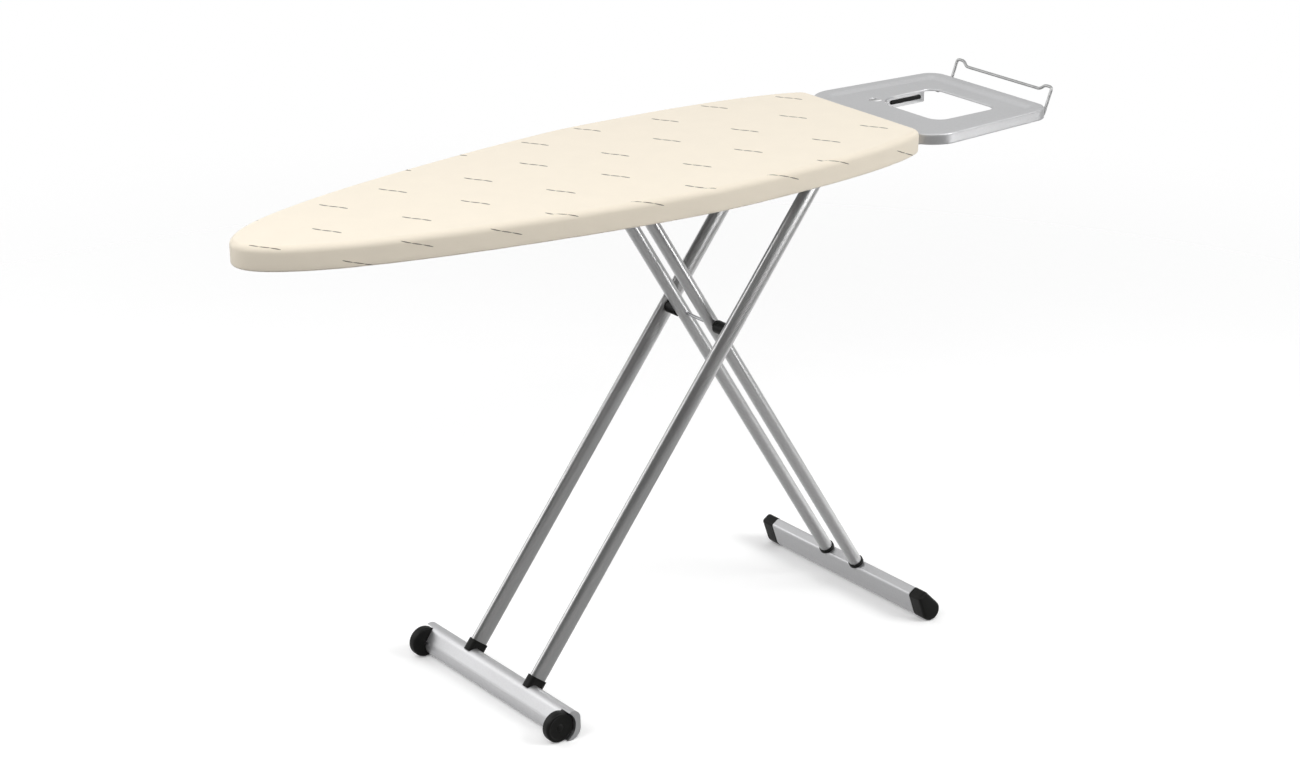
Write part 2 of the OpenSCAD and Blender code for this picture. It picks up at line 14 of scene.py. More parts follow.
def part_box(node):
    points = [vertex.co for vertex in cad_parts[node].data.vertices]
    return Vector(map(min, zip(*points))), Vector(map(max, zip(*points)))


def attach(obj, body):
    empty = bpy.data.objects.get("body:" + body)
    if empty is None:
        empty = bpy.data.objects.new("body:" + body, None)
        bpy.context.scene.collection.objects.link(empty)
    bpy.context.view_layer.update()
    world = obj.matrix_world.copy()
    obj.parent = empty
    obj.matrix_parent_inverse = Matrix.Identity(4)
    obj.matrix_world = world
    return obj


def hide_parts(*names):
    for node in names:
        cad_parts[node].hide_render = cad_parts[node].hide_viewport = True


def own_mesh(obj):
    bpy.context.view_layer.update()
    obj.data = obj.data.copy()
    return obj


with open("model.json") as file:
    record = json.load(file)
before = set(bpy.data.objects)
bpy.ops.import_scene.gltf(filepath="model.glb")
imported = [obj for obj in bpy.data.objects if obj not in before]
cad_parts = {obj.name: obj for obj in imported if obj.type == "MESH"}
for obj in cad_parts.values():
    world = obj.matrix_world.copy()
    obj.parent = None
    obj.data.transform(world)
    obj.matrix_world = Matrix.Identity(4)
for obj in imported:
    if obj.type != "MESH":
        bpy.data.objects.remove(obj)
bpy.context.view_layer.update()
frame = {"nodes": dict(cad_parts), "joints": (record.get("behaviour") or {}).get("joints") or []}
MM = 0.001

# ---------------------------------------------------------------- places taken from the frame

cover_lo, cover_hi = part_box("cover")
pad_lo, pad_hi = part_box("felt_pad")
rest_lo, rest_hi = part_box("iron_rest")
rail_lo, rail_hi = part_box("wire_rail")
foot_lo, foot_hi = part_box("rest_foot")
bumper_lo, bumper_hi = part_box("rest_bumper")
CROSSING = Vector(next(j["pos_m"] for j in frame["joints"] if j["name"] == "leg_scissor"))
BOARD_L = cover_hi.x - cover_lo.x
BOARD_HALF = cover_hi.y

# ---------------------------------------------------------------- geometry helpers


def bezier(controls, count):
    """Points on a cubic curve, without its last point."""
    p = np.array(controls, float)
    t = np.linspace(0, 1, count, endpoint=False)[:, None]
    return (1 - t) ** 3 * p[0] + 3 * (1 - t) ** 2 * t * p[1] + 3 * (1 - t) * t * t * p[2] + t**3 * p[3]


def resample(loop, count):
    """The closed loop again, with that many points evenly spaced along it."""
    closed = np.vstack([loop, loop[:1]])
    along = np.concatenate([[0], np.cumsum(np.linalg.norm(np.diff(closed, axis=0), axis=1))])
    at = np.linspace(0, along[-1], count, endpoint=False)
    return np.stack([np.interp(at, along, closed[:, k]) for k in range(loop.shape[1])], axis=1)


BOARD_CORNER = 16 * MM
BOARD_WIDEST = 0.61           # where the board is widest, as a share of its length
BOARD_SHOULDER_Y, BOARD_END_Y = 198 * MM, 163 * MM


def board_outline(count):
    """The board seen from above, counter-clockwise from the nose's tip."""
    half, corner = BOARD_HALF, BOARD_CORNER
    wide_x, end_y = BOARD_WIDEST * BOARD_L, BOARD_END_Y
    side = np.vstack([
        bezier([[0, 0], [0, 0.65 * half], [0.565 * BOARD_L, half], [wide_x, half]], 200),
        bezier([[wide_x, half], [0.8 * BOARD_L, half], [0.93 * BOARD_L, BOARD_SHOULDER_Y],
                [BOARD_L - corner, end_y]], 120),
        bezier([[BOARD_L - corner, end_y], [BOARD_L - 0.3 * corner, end_y - 0.3 * corner],
                [BOARD_L, end_y - 0.7 * corner], [BOARD_L, end_y - 1.45 * corner]], 20),
        [[BOARD_L, end_y - 1.45 * corner]],
    ])
    near = side * [1, -1]
    loop = np.vstack([near, side[:0:-1]])
    return resample(loop + [cover_lo.x, 0], count)


def normals(loop):
    """Outward normals of a counter-clockwise loop."""
    along = np.roll(loop, -1, axis=0) - np.roll(loop, 1, axis=0)
    along /= np.linalg.norm(along, axis=1)[:, None]
    return np.stack([along[:, 1], -along[:, 0]], axis=1)


def area_of(loop):
    """The area inside a flat loop."""
    x, y = loop.T
    return abs((x * np.roll(y, -1) - y * np.roll(x, -1)).sum()) / 2


def rounded(corners, radii, on_arc, on_side):
    """A convex outline with round corners, with the same number of points on each arc and each side."""
    arcs = []
    for i, (corner, radius) in enumerate(zip(corners, radii)):
        p, a, b = (np.array(corners[(i + k) % len(corners)], float) for k in (0, -1, 1))
        u, v = (a - p) / np.linalg.norm(a - p), (b - p) / np.linalg.norm(b - p)
        half = math.acos(u @ v) / 2
        centre = p + (u + v) / np.linalg.norm(u + v) * radius / math.sin(half)
        start, end = (p + w * radius / math.tan(half) - centre for w in (u, v))
        a0 = math.atan2(start[1], start[0])
        turn = (math.atan2(end[1], end[0]) - a0) % (2 * math.pi)
        arcs.append([centre + radius * np.array([math.cos(a), math.sin(a)])
                     for a in np.linspace(a0, a0 + turn, on_arc)])
    loop = []
    for i, arc in enumerate(arcs):
        after = arcs[(i + 1) % len(arcs)][0]
        loop += arc
        loop += [arc[-1] + (after - arc[-1]) * t for t in np.linspace(0, 1, on_side + 2)[1:-1]]
    return np.array(loop)


def lift(loop, z):
    """A flat loop as points at height z, which is one number or one for each point."""
    return np.column_stack([loop, np.broadcast_to(z, len(loop))])


def mesh_object(name, points, faces):
    """A new object with those points and faces, with its normals outwards."""
    mesh = bpy.data.meshes.new(name)
    mesh.from_pydata([tuple(p) for p in points], [], faces)
    obj = bpy.data.objects.new(name, mesh)
    bpy.context.scene.collection.objects.link(obj)
    reshape(obj, lambda bm: bmesh.ops.recalc_face_normals(bm, faces=bm.faces))
    return obj


def reshape(obj, change):
    """Runs a bmesh change on an object's mesh."""
    bm = bmesh.new()
    bm.from_mesh(obj.data)
    change(bm)
    bm.to_mesh(obj.data)
    bm.free()


def loft(name, rings, start=False, end=False):
    """A skin over closed rings that have the same number of points; start and end close those ends."""
    n = len(rings[0])
    points = np.vstack(rings)
    faces = [(j * n + i, j * n + (i + 1) % n, (j + 1) * n + (i + 1) % n, (j + 1) * n + i)
             for j in range(len(rings) - 1) for i in range(n)]
    for closed, first in ((start, 0), (end, (len(rings) - 1) * n)):
        if closed:
            middle = points[first:first + n].mean(0)
            faces += [(first + i, first + (i + 1) % n, len(points)) for i in range(n)]
            points = np.vstack([points, middle])
    return mesh_object(name, points, faces)


def sweep(name, path, section, closed=False, ref=(0, 0, 1)):
    """A tube with that flat section along a path that never runs along ref."""
    ahead = np.roll(path, -1, axis=0) - np.roll(path, 1, axis=0)
    if not closed:
        ahead[0], ahead[-1] = path[1] - path[0], path[-1] - path[-2]
    ahead /= np.linalg.norm(ahead, axis=1)[:, None]
    side = np.cross(ahead, ref)
    side /= np.linalg.norm(side, axis=1)[:, None]
    up = np.cross(side, ahead)
    rings = [p + section[:, :1] * s + section[:, 1:] * u for p, s, u in zip(path, side, up)]
    if closed:
        rings.append(rings[0])
    return loft(name, rings, start=not closed, end=not closed)


def circle(radius, count, squash=1.0):
    """A flat circle, or an ellipse with its second axis squashed."""
    a = np.linspace(0, 2 * math.pi, count, endpoint=False)
    return np.stack([radius * np.cos(a), radius * squash * np.sin(a)], axis=1)


def modify(obj, kind, **settings):
    """Adds a modifier with those settings and applies it."""
    modifier = obj.modifiers.new(kind.lower(), kind)
    for key, value in settings.items():
        setattr(modifier, key, value)
    mesh = bpy.data.meshes.new_from_object(obj.evaluated_get(bpy.context.evaluated_depsgraph_get()))
    obj.modifiers.clear()
    obj.data = mesh


def weld(obj, distance=0.01 * MM):
    """Merges points that lie on each other."""
    reshape(obj, lambda bm: bmesh.ops.remove_doubles(bm, verts=bm.verts, dist=distance))


def smooth(obj, angle=35):
    """Smooth shading, with edges sharper than the angle kept crisp."""
    def mark(bm):
        for face in bm.faces:
            face.smooth = True
        for edge in bm.edges:
            edge.smooth = len(edge.link_faces) != 2 or edge.calc_face_angle(0) < math.radians(angle)
    reshape(obj, mark)


def join(obj, *others):
    """Adds the other objects' meshes to obj's and removes them."""
    bm = bmesh.new()
    for o in (obj, *others):
        bm.from_mesh(o.data)
    bm.to_mesh(obj.data)
    bm.free()
    for o in others:
        bpy.data.objects.remove(o)


def ripple(x, y, z, scale):
    """Smooth noise from about -1 to 1 that repeats nowhere and is the same each run."""
    return noise.noise(Vector((x / scale, y / scale, z / scale)))


def place(obj, body, slot, *stands_for, material=None):
    """Gives a finished piece its look, its body and the CAD nodes it stands for."""
    obj.data.materials.clear()
    obj.data.materials.append(material or LOOKS[slot])
    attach(obj, body)
    if stands_for:
        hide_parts(*stands_for)
    return obj


# ---------------------------------------------------------------- materials


class Look:
    """A Principled material. Its constants are set on the shader, and add() makes the nodes that vary."""

    def __init__(self, name, **constants):
        self.material = bpy.data.materials.new(name)
        self.material.use_nodes = True
        self.tree = self.material.node_tree
        self.shader = self.tree.nodes["Principled BSDF"]
        for socket, value in constants.items():
            self.shader.inputs[socket.replace("_", " ")].default_value = value

    def add(self, kind, *inputs, **settings):
        """A node with its inputs in order (a value, an output to link, or None) and its settings."""
        node = self.tree.nodes.new("ShaderNode" + kind)
        for key, value in settings.items():
            setattr(node, key, value)
        for socket, value in zip(node.inputs, inputs):
            self.feed(socket, value)
        return node

    def feed(self, socket, value):
        if isinstance(value, bpy.types.NodeSocket):
            self.tree.links.new(value, socket)
        elif value is not None:
            socket.default_value = value

    def math(self, operation, a, b=None, c=None, clamp=False):
        """The result of one calculation on values or outputs."""
        return self.add("Math", a, b, c, operation=operation, use_clamp=clamp).outputs[0]

    def here(self):
        """Where a point is on the object, in metres."""
        return self.add("TexCoord").outputs["Object"]

    def noise(self, scale, detail=2.0, where=None, stretch=None):
        """Smooth noise with that many waves to a metre."""
        where = where or self.here()
        if stretch:
            where = self.add("Mapping", where, None, None, stretch).outputs[0]
        node = self.add("TexNoise", where)
        node.inputs["Scale"].default_value = scale
        node.inputs["Detail"].default_value = detail
        return node.outputs["Fac"]

    def between(self, factor, low, high):
        """Low to high as the factor goes from 0.3 to 0.7, the usual spread of noise."""
        return self.add("MapRange", factor, 0.3, 0.7, low, high).outputs[0]

    def mix(self, factor, a, b):
        """A colour from a to b as the factor goes from 0 to 1."""
        node = self.add("Mix", data_type="RGBA")
        for socket, value in (("Factor", factor), ("A", a), ("B", b)):
            options = [s for s in node.inputs if s.name == socket and s.enabled]
            self.feed(options[0], value)
        return next(s for s in node.outputs if s.enabled)

    def bump(self, height, distance, strength=1.0, over=None):
        """A bump that is that many metres high where height goes from 0 to 1."""
        node = self.add("Bump")
        node.inputs["Strength"].default_value = strength
        node.inputs["Distance"].default_value = distance
        self.feed(node.inputs["Height"], height)
        if over:
            self.feed(node.inputs["Normal"], over)
        return node.outputs[0]

    def finish(self, colour, roughness, normal):
        """Links what varies to the shader and returns the material."""
        for socket, value in (("Base Color", colour), ("Roughness", roughness), ("Normal", normal)):
            self.feed(self.shader.inputs[socket], value)
        return self.material


def shade_of(colour, factor):
    """The colour made lighter or darker, with an alpha of 1."""
    return (*(c * factor for c in colour), 1)


# The printed marks lie in pairs on a slanted lattice, in metres on the flat cloth
PRINT_START = Vector((-651.8, -36.7)) * MM
PRINT_ACROSS = Vector((70.35, -131.8)) * MM
PRINT_ALONG = Vector((191.95, 116.3)) * MM
PRINT_PAIR = Vector((72.1, 100.0)) * MM
MARK_WAY = Vector((29.3, -52.6)).normalized()
MARK_L, MARK_W = 52 * MM, 4.2 * MM
MARK_BOW, MARK_WAVE = 0.35, 3.4         # how far a mark bends, in half widths, and how fast
STROKE_WAVE, STROKE_TAPER = 4.7, 0.45   # how fast the three strokes follow, and how blunt they are
# The way the print runs on over the near edge, in metres of cloth for each metre down the skirt
SKIRT_SLANT = np.array([-1.57, -2.10])


def printed_marks(look, cloth):
    """1 on a printed mark and 0 elsewhere. A mark is three thin tapered strokes in a row."""
    split = look.add("SeparateXYZ", cloth).outputs
    cross = PRINT_ACROSS.x * PRINT_ALONG.y - PRINT_ACROSS.y * PRINT_ALONG.x

    def dot(x, y, vector):
        return look.math("ADD", look.math("MULTIPLY", x, vector[0]), look.math("MULTIPLY", y, vector[1]))

    masks = []
    for start in (PRINT_START, PRINT_START + PRINT_PAIR):
        x = look.math("SUBTRACT", split[0], start.x)
        y = look.math("SUBTRACT", split[1], start.y)
        i = look.math("ROUND", dot(x, y, (PRINT_ALONG.y / cross, -PRINT_ALONG.x / cross)))
        j = look.math("ROUND", dot(x, y, (-PRINT_ACROSS.y / cross, PRINT_ACROSS.x / cross)))
        x = look.math("SUBTRACT", x, dot(i, j, (PRINT_ACROSS.x, PRINT_ALONG.x)))
        y = look.math("SUBTRACT", y, dot(i, j, (PRINT_ACROSS.y, PRINT_ALONG.y)))
        along = look.math("DIVIDE", dot(x, y, MARK_WAY), MARK_L / 2)
        off = look.math("DIVIDE", dot(x, y, (-MARK_WAY.y, MARK_WAY.x)), MARK_W / 2)
        bow = look.math("MULTIPLY", look.math("SINE", look.math("MULTIPLY", along, MARK_WAVE)), MARK_BOW)
        off = look.math("ABSOLUTE", look.math("SUBTRACT", off, bow))
        stroke = look.math("ABSOLUTE", look.math("COSINE", look.math("MULTIPLY", along, STROKE_WAVE)))
        width = look.math("POWER", stroke, STROKE_TAPER)
        inside = look.math("LESS_THAN", look.math("ABSOLUTE", along), 1.0)
        thin = look.math("LESS_THAN", off, width)
        masks.append(look.math("MULTIPLY", inside, thin))
    return look.math("MAXIMUM", *masks)


def cotton(name, printed):
    """Plain-woven cotton, with the print where it is wanted."""
    colour, ink = (0.865, 0.785, 0.655), (0.10, 0.088, 0.07)
    look = Look(name, Roughness=0.92, Sheen_Weight=0.25, Sheen_Roughness=0.45, Specular_IOR_Level=0.2)
    cloth = look.add("Attribute", attribute_name="cloth").outputs["Vector"] if printed else look.here()
    mottle = look.noise(22, 3, cloth)
    slub = look.noise(160, 2, cloth, (1, 6, 1))
    base = look.mix(look.between(mottle, 0, 1), shade_of(colour, 0.985), shade_of(colour, 1.01))
    base = look.mix(look.between(slub, 0, 0.5), base, shade_of(colour, 0.97))
    if printed:
        base = look.mix(look.math("MULTIPLY", printed_marks(look, cloth), 0.9), base, shade_of(ink, 1))
    threads = [look.add("TexWave", cloth, 420, 0.6, 1.0, bands_direction=d).outputs["Fac"] for d in "XY"]
    weave = look.math("MULTIPLY", *threads)
    soft = look.bump(mottle, 0.6 * MM, 0.35)
    return look.finish(base, look.between(slub, 0.86, 0.97), look.bump(weave, 0.12 * MM, 0.5, soft))


def felt(name):
    """Grey-beige needled felt with loose fibres."""
    colour = (0.66, 0.64, 0.59)
    look = Look(name, Roughness=1.0, Sheen_Weight=0.4, Specular_IOR_Level=0.1)
    fibre = look.noise(420, 6, stretch=(1, 2.5, 1))
    clump = look.noise(45, 3)
    base = look.mix(fibre, shade_of(colour, 0.72), shade_of(colour, 1.12))
    base = look.mix(look.between(clump, 0, 0.4), base, shade_of(colour, 0.8))
    return look.finish(base, look.between(fibre, 0.9, 1.0), look.bump(fibre, 0.5 * MM, 0.7))


def lacquer(name, colour, roughness, metal=0.9, flake=0.06, peel=0.25):
    """Silver lacquer: fine metal flake, a slight orange peel, mottling and faint clouds in its gloss."""
    look = Look(name, Metallic=metal, Specular_IOR_Level=0.5, Coat_Weight=0.08, Coat_Roughness=0.25)
    cells = look.add("TexVoronoi", look.here())
    cells.inputs["Scale"].default_value = 1500
    spark = look.math("MULTIPLY", cells.outputs["Distance"], 1.6, clamp=True)
    cloud = look.noise(9, 3)
    base = look.mix(spark, shade_of(colour, 1 + flake), shade_of(colour, 1 - flake))
    base = look.mix(look.between(cloud, 0, 0.5), base, shade_of(colour, 0.96))
    skin = look.noise(260, 2)
    base = look.mix(look.between(skin, 0, 0.7), base, shade_of(colour, 0.9))
    return look.finish(base, look.between(cloud, roughness - 0.03, roughness + 0.04),
                       look.bump(skin, 0.05 * MM, peel))


def powder_coat(name, colour):
    """Matt powder coat with its fine grain."""
    look = Look(name, Metallic=0.15, Specular_IOR_Level=0.45)
    grain = look.noise(700, 3)
    base = look.mix(grain, shade_of(colour, 0.9), shade_of(colour, 1.08))
    return look.finish(base, look.between(look.noise(30, 2), 0.48, 0.6),
                       look.bump(grain, 0.08 * MM, 0.5))


def bright_steel(name, colour, roughness):
    """Zinc-plated or drawn steel, with faint lines along the piece and small tone changes."""
    look = Look(name, Metallic=1.0)
    lines = look.noise(60, 4, stretch=(14, 1, 14))
    spangle = look.noise(120, 2)
    base = look.mix(look.between(spangle, 0, 1), shade_of(colour, 0.88), shade_of(colour, 1.06))
    return look.finish(base, look.between(lines, roughness - 0.06, roughness + 0.08),
                       look.bump(lines, 0.03 * MM, 0.15))


def moulded(name, colour, roughness, grain):
    """Moulded plastic or rubber with a fine eroded grain."""
    look = Look(name, Specular_IOR_Level=0.22)
    cells = look.add("TexVoronoi", look.here(), feature="SMOOTH_F1")
    cells.inputs["Scale"].default_value = 900
    fine = look.noise(350, 3)
    base = look.mix(fine, shade_of(colour, 0.8), shade_of(colour, 1.35))
    height = look.math("MULTIPLY", cells.outputs["Distance"], fine)
    return look.finish(base, look.between(fine, roughness - 0.05, roughness + 0.08),
                       look.bump(height, grain * MM, 0.6))


LOOKS = {
    "cover_cotton": cotton("printed_cotton", True),
    "felt": felt("needled_felt"),
    "panel_steel": powder_coat("grey_powder_coat", (0.36, 0.37, 0.385)),
    "tube_silver": lacquer("leg_lacquer", (0.53, 0.53, 0.528), 0.31),
    "foot_silver": lacquer("foot_lacquer", (0.70, 0.70, 0.71), 0.40, metal=0.95),
    "tray_silver": lacquer("tray_lacquer", (0.665, 0.667, 0.675), 0.45, metal=0.68, flake=0.12, peel=0.4),
    "wire_grey": bright_steel("drawn_wire", (0.47, 0.47, 0.47), 0.4),
    "bare_steel": bright_steel("zinc_plate", (0.56, 0.565, 0.58), 0.3),
    "black_plastic": moulded("black_plastic", (0.0045, 0.0045, 0.004), 0.42, 0.15),
    "black_rubber": moulded("black_rubber", (0.0055, 0.0055, 0.0055), 0.6, 0.1),
}
PLAIN_COTTON = cotton("hem_cotton", False)
# Painted light: the inner legs share the outer legs' paint, but this copy is lighter so that they read
# brighter under the same lamps
LIGHTER_LIT_LEG_LACQUER = lacquer("inner_leg_lacquer_painted_lighter", (0.70, 0.70, 0.70), 0.34)

# The CAD nodes that stay in view, by the record's material slot
SLOT_NODES = {
    "panel_steel": ["board_panel", "rim_band", "slide_channel_near", "slide_channel_far",
                    "hinge_bracket_near", "hinge_bracket_far", "arm_clamps", "tray_brackets",
                    "lever_bracket", "comb_bracket"],
    "tube_silver": ["outer_crossbar", "inner_leg_near", "inner_leg_far"],
    "foot_silver": ["nose_foot", "rest_foot"],
    "tray_silver": ["rest_arm_near", "rest_arm_far"],
    "bare_steel": ["hinge_rod", "lever_pin", "comb_pin", "latch_comb", "release_lever",
                   "pivot_rod", "wheel_axles", "slide_bar"],
    "black_plastic": ["rod_caps", "lever_grip", "outer_collars", "pivot_spacers",
                      "bar_glides", "inner_collars"],
}
# Nodes that look a little different from the rest of their slot; the inner legs get a lighter copy of the
# leg lacquer, which is painted light
OWN_LOOKS = {"inner_leg_near": LIGHTER_LIT_LEG_LACQUER, "inner_leg_far": LIGHTER_LIT_LEG_LACQUER,
             "rest_arm_near": LOOKS["tube_silver"], "rest_arm_far": LOOKS["tube_silver"]}


def dress_nodes():
    """Gives every CAD node that stays in view its own material."""
    for slot, names in SLOT_NODES.items():
        for name in names:
            node = frame["nodes"][name]
            node.data.materials.clear()
            node.data.materials.append(OWN_LOOKS.get(name, LOOKS[slot]))


# ---------------------------------------------------------------- cover and pad

CLOTH_T = 1.2 * MM
TOP_SLACK = 0.3 * MM          # room for the top's slight waves under the frame's height
EDGE_R = 11 * MM
EDGE_DIP, DIP_REACH = 1.4 * MM, 45 * MM
HEM_R, HEM_W = 4 * MM, 20 * MM
SKIRT_LEAN = 0.4 * MM         # how far the skirt leans in at its lower edge
PULL, PULL_L = 0.7 * MM, 0.034
GATHER, GATHER_L = 0.8 * MM, 1.9 * MM
ROUND = 600                   # points round the cover
TOP_RINGS = 20


def top_dip(points, outline):
    """How far the padded top lies below its crown at each point: it falls a little towards the edge."""
    far = np.array([np.linalg.norm(outline - p, axis=1).min() for p in points])
    return EDGE_DIP * (1 - np.clip(far / DIP_REACH, 0, 1)) ** 2


def make_cover():
    """The stretched cover: crowned top, soft edge, skirt with slight pulls, and a gathered hem below."""
    outline = board_outline(ROUND)
    out = normals(outline)
    inset = outline - out * EDGE_R
    middle = inset.mean(0)
    rings, cloth = [], []
    for share in np.linspace(0.02, 1, TOP_RINGS):
        flat = middle + (inset - middle) * share
        sway = [0.35 * MM * ripple(x, y, 0, 0.11) + 0.1 * MM * ripple(x, y, 5, 0.03) for x, y in flat]
        rings.append(lift(flat, cover_hi.z - top_dip(flat, outline) - TOP_SLACK + sway))
        cloth.append(lift(flat, 0))
    edge_z = rings[-1][:, 2]
    profile = [(EDGE_R - EDGE_R * math.sin(a), EDGE_R * (1 - math.cos(a)))
               for a in np.linspace(0, math.pi / 2, 9)[1:]]
    wall_end = edge_z.mean() - cover_lo.z - HEM_R
    profile += [(SKIRT_LEAN * t, EDGE_R + (wall_end - EDGE_R) * t) for t in (0.25, 0.5, 0.75, 1)]
    profile += [(SKIRT_LEAN + HEM_R * (1 - math.cos(a)), wall_end + HEM_R * math.sin(a))
                for a in np.linspace(0, math.pi / 2, 6)[1:]]
    profile += [(SKIRT_LEAN + HEM_R + (HEM_W - HEM_R) * t, wall_end + HEM_R)
                for t in (0.25, 0.5, 0.75, 1)]
    # The print runs over the near edge at a slant, and straight over the far edge
    facing = np.clip((out @ SKIRT_SLANT / np.linalg.norm(SKIRT_SLANT) + 0.1) / 0.5, 0, 1)[:, None]
    slanted = facing * facing * (3 - 2 * facing)
    arc_length = np.concatenate([[0], np.cumsum(np.linalg.norm(np.diff(outline, axis=0), axis=1))])
    path = 0.0
    before = (EDGE_R, 0.0)
    for inward, drop in profile:
        path += math.hypot(inward - before[0], drop - before[1])
        before = (inward, drop)
        down = np.clip((drop - EDGE_R) / (wall_end - EDGE_R), 0, 1)
        under = np.clip((inward - HEM_R) / (HEM_W - HEM_R), 0, 1)
        pull = np.array([ripple(x, y, drop * 0.25, PULL_L) for x, y in outline]) * PULL * down
        gather = np.array([math.sin(s / GATHER_L + 2.5 * ripple(s, 0, 0, 0.05)) for s in arc_length])
        flat = outline - out * inward + out * (pull * (1 - under))[:, None]
        z = edge_z - drop + gather * GATHER * under + under * 1.0 * MM
        rings.append(lift(flat, z))
        cloth.append(lift(inset + out * path * (1 - slanted) + SKIRT_SLANT * path * slanted, 0))
    cover = loft("cotton_cover", rings, start=True)
    flat_at = np.vstack([*cloth, cloth[0].mean(0)])
    attribute = cover.data.attributes.new("cloth", "FLOAT_VECTOR", "POINT")
    attribute.data.foreach_set("vector", flat_at.astype(np.float32).ravel())
    modify(cover, "SOLIDIFY", thickness=CLOTH_T, offset=-1)
    smooth(cover, 60)
    cut = inset + out * path
    flat_cut = (float(np.ptp(cut[:, 1])), float(np.ptp(cut[:, 0])))
    return cover, rings[-1], flat_cut, area_of(cut)


def make_binding(edge):
    """The bound edge of the hem, which follows the gathers."""
    section = circle(1.7 * MM, 10, 0.6)
    return sweep("cover_hem_binding", edge, section, closed=True)


def make_pad():
    """The felt pad under the cover, with round edges and the same crown as the cover."""
    gap = 0.7 * MM
    outline = board_outline(ROUND // 2)
    out = normals(outline)
    edge = outline - out * (pad_lo.x - cover_lo.x + 2 * MM)
    middle = edge.mean(0)
    top = cover_hi.z - CLOTH_T - gap - 0.6 * MM
    low = pad_lo.z + 0.1 * MM
    radius = (top - EDGE_DIP - low) / 2
    rings = []
    for share in np.linspace(0.05, 1, 12):
        flat = middle + (edge - out * radius - middle) * share
        rings.append(lift(flat, top - top_dip(flat, outline)))
    side_top = rings[-1][:, 2]
    for a in np.linspace(0, math.pi, 9)[1:]:
        z = side_top - (side_top - low) * (1 - math.cos(a)) / 2
        rings.append(lift(edge - out * radius * (1 - math.sin(a)), z))
    for share in (0.6, 0.2):
        rings.append(lift(middle + (edge - out * radius - middle) * share, low))
    pad = loft("felt_pad_soft", rings, start=True, end=True)
    smooth(pad, 60)
    return pad


# ---------------------------------------------------------------- iron rest

REST_END_HALF = 155 * MM
REST_CORNER_R, REST_BOARD_CORNER_R = 34 * MM, 60 * MM
REST_SKIRT = 20 * MM
REST_EDGE_R = 3.5 * MM
SHEET_T = 1.4 * MM
DISH = 6 * MM                 # how far the dish lies below the rim
# From the outer edge to the dish: how far in and how far down, in mm
RIM_PROFILE = ((8, 0), (14, -0.1), (18, 0.1), (21, 0.6), (23.5, 1.7), (26, 3.3), (28.5, 4.7), (31, 5.5))
WELL_X = (rest_lo.x + 100 * MM, rest_hi.x - 64 * MM)
WELL_HALF = 85 * MM
WELL_R, WELL_HOLE_R = 24 * MM, 50 * MM
LIP_R = 3 * MM
HOLE = (WELL_X[0] + 5 * MM, WELL_HALF + 1 * MM)
HOLE_R = 12 * MM
FLANGE_X = (WELL_X[0] + 30 * MM, WELL_X[1] - 22 * MM)
FLANGE_DROP = 23 * MM


def rest_rings():
    """The pressed sheet's upper surface as rings, from the skirt's lower edge to the well's lip."""
    half = rest_hi.y
    outer = rounded([(rest_lo.x, -half), (rest_hi.x, -REST_END_HALF), (rest_hi.x, REST_END_HALF),
                     (rest_lo.x, half)],
                    [REST_BOARD_CORNER_R, REST_CORNER_R, REST_CORNER_R, REST_BOARD_CORNER_R], 16, 26)
    well = rounded([(WELL_X[0], -WELL_HALF), (WELL_X[1], -WELL_HALF), (WELL_X[1], WELL_HALF),
                    (WELL_X[0], WELL_HALF)], [WELL_R, WELL_R, WELL_R, WELL_HOLE_R], 16, 26)
    outer_out, well_out = normals(outer), normals(well)
    rim = rest_hi.z
    dish = rim - DISH
    edge_r = REST_EDGE_R
    rings = [lift(outer, z) for z in np.linspace(rim - REST_SKIRT, rim - edge_r, 4)]
    for a in np.linspace(0, math.pi / 2, 6)[1:]:
        flat = outer - outer_out * edge_r * (1 - math.cos(a))
        rings.append(lift(flat, rim - edge_r * (1 - math.sin(a))))
    for inward, drop in RIM_PROFILE:
        rings.append(lift(outer - outer_out * inward * MM, rim - drop * MM))
    last = rings[-1]
    near_well = lift(well + well_out * 9 * MM, dish)
    for t in (0.2, 0.4, 0.6, 0.8):
        rings.append(last + (near_well - last) * t)
    rings.append(near_well)
    rings.append(lift(well + well_out * (LIP_R + 1.5 * MM), dish))
    for a in np.linspace(0, math.pi / 2, 6):
        rings.append(lift(well + well_out * LIP_R * (1 - math.sin(a)), dish - LIP_R * (1 - math.cos(a))))
    rings.append(lift(well, dish - LIP_R - 1.5 * MM))
    return rings


def ring_profile(name, centre, profile, count):
    """A solid turned round an upright axis: profile is (radius, height) pairs once round its section."""
    rings = []
    for radius, height in profile:
        flat = circle(radius, count) + [centre[0], centre[1]]
        rings.append(lift(flat, centre[2] + height))
    rings.append(rings[0])
    obj = loft(name, rings)
    weld(obj)
    return obj


def box_mesh(name, low, high):
    """A block between two corners."""
    points = [(x, y, z) for x in (low[0], high[0]) for y in (low[1], high[1]) for z in (low[2], high[2])]
    faces = [(0, 1, 3, 2), (4, 6, 7, 5), (0, 4, 5, 1), (2, 3, 7, 6), (0, 2, 6, 4), (1, 5, 7, 3)]
    return mesh_object(name, points, faces)


